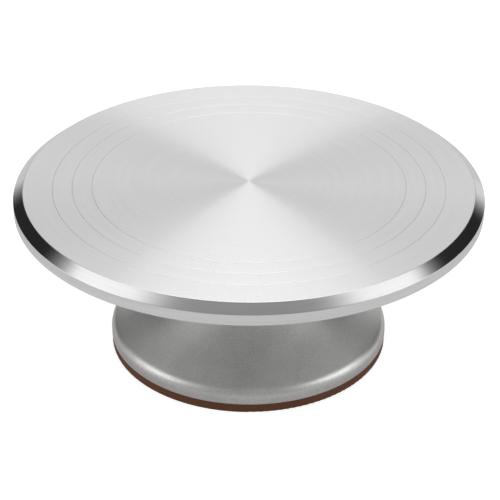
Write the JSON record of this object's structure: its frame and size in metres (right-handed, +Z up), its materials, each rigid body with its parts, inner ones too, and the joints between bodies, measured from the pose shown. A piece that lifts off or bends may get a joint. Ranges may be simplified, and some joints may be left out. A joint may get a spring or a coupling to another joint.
{
  "type": "cake turntable",
  "caption": "Round flat plate with scribed guide rings and a bevelled rim, turning on a spindle in a flared cast pedestal with a soft foot ring.",
  "frame": {"origin": "on the floor under the middle of the foot ring, on the turning axis", "axes": "+Z up along the turning axis, out of the plate's cake face; +X and +Y level, with +X through one of the casting's six ribs"},
  "size_m": [0.3048, 0.3048, 0.1175],
  "materials": {
    "turned_aluminium": "finely turned, bright bevel",
    "cast_aluminium": "sand-blasted casting, satin",
    "silicone": "matt, brown",
    "ground_steel": "ground and polished",
    "bearing_steel": "polished",
    "zinc_steel": "zinc plated",
    "spring_steel": "phosphated, oiled",
    "nylon": "natural nylon",
    "cap_plastic": "moulded, fine grain"
  },
  "bodies": {
    "base": {"pedestal": "cast_aluminium", "foot_ring": "silicone", "bearing_cap": "cap_plastic", "upper_bearing_outer_ring": "bearing_steel", "lower_bearing_outer_ring": "bearing_steel", "upper_bearing_shields": "zinc_steel", "lower_bearing_shields": "zinc_steel", "upper_circlip": "spring_steel", "lower_circlip": "spring_steel"},
    "rotor": {"upper_bearing_inner_ring": "bearing_steel", "lower_bearing_inner_ring": "bearing_steel", "bearing_spacer": "ground_steel"},
    "turntable": {"turntable_plate": "turned_aluminium", "spindle_hub": "turned_aluminium", "hub_screws": "zinc_steel", "spindle": "ground_steel", "spindle_screw": "zinc_steel"},
    "upper_cage": {"upper_bearing_cage": "nylon", "upper_bearing_balls": "bearing_steel"},
    "lower_cage": {"lower_bearing_cage": "nylon", "lower_bearing_balls": "bearing_steel"}
  },
  "joints": [
    {"name": "plate_spin", "type": "hinge", "parent": "base", "child": "rotor", "pos_m": [0, 0, 0.0915], "axis": [0, 0, 1], "continuous": true},
    {"name": "plate_lift", "type": "slide", "parent": "rotor", "child": "turntable", "axis": [0, 0, 1], "range_m": [0, 0.08]},
    {"name": "upper_cage_spin", "type": "hinge", "parent": "base", "child": "upper_cage", "pos_m": [0, 0, 0.0915], "axis": [0, 0, 1], "continuous": true},
    {"name": "lower_cage_spin", "type": "hinge", "parent": "base", "child": "lower_cage", "pos_m": [0, 0, 0.0356], "axis": [0, 0, 1], "continuous": true}
  ],
  "couplings": [
    {"joint": "upper_cage_spin", "follows": "plate_spin", "ratio": 0.3821},
    {"joint": "lower_cage_spin", "follows": "plate_spin", "ratio": 0.3821}
  ]
}
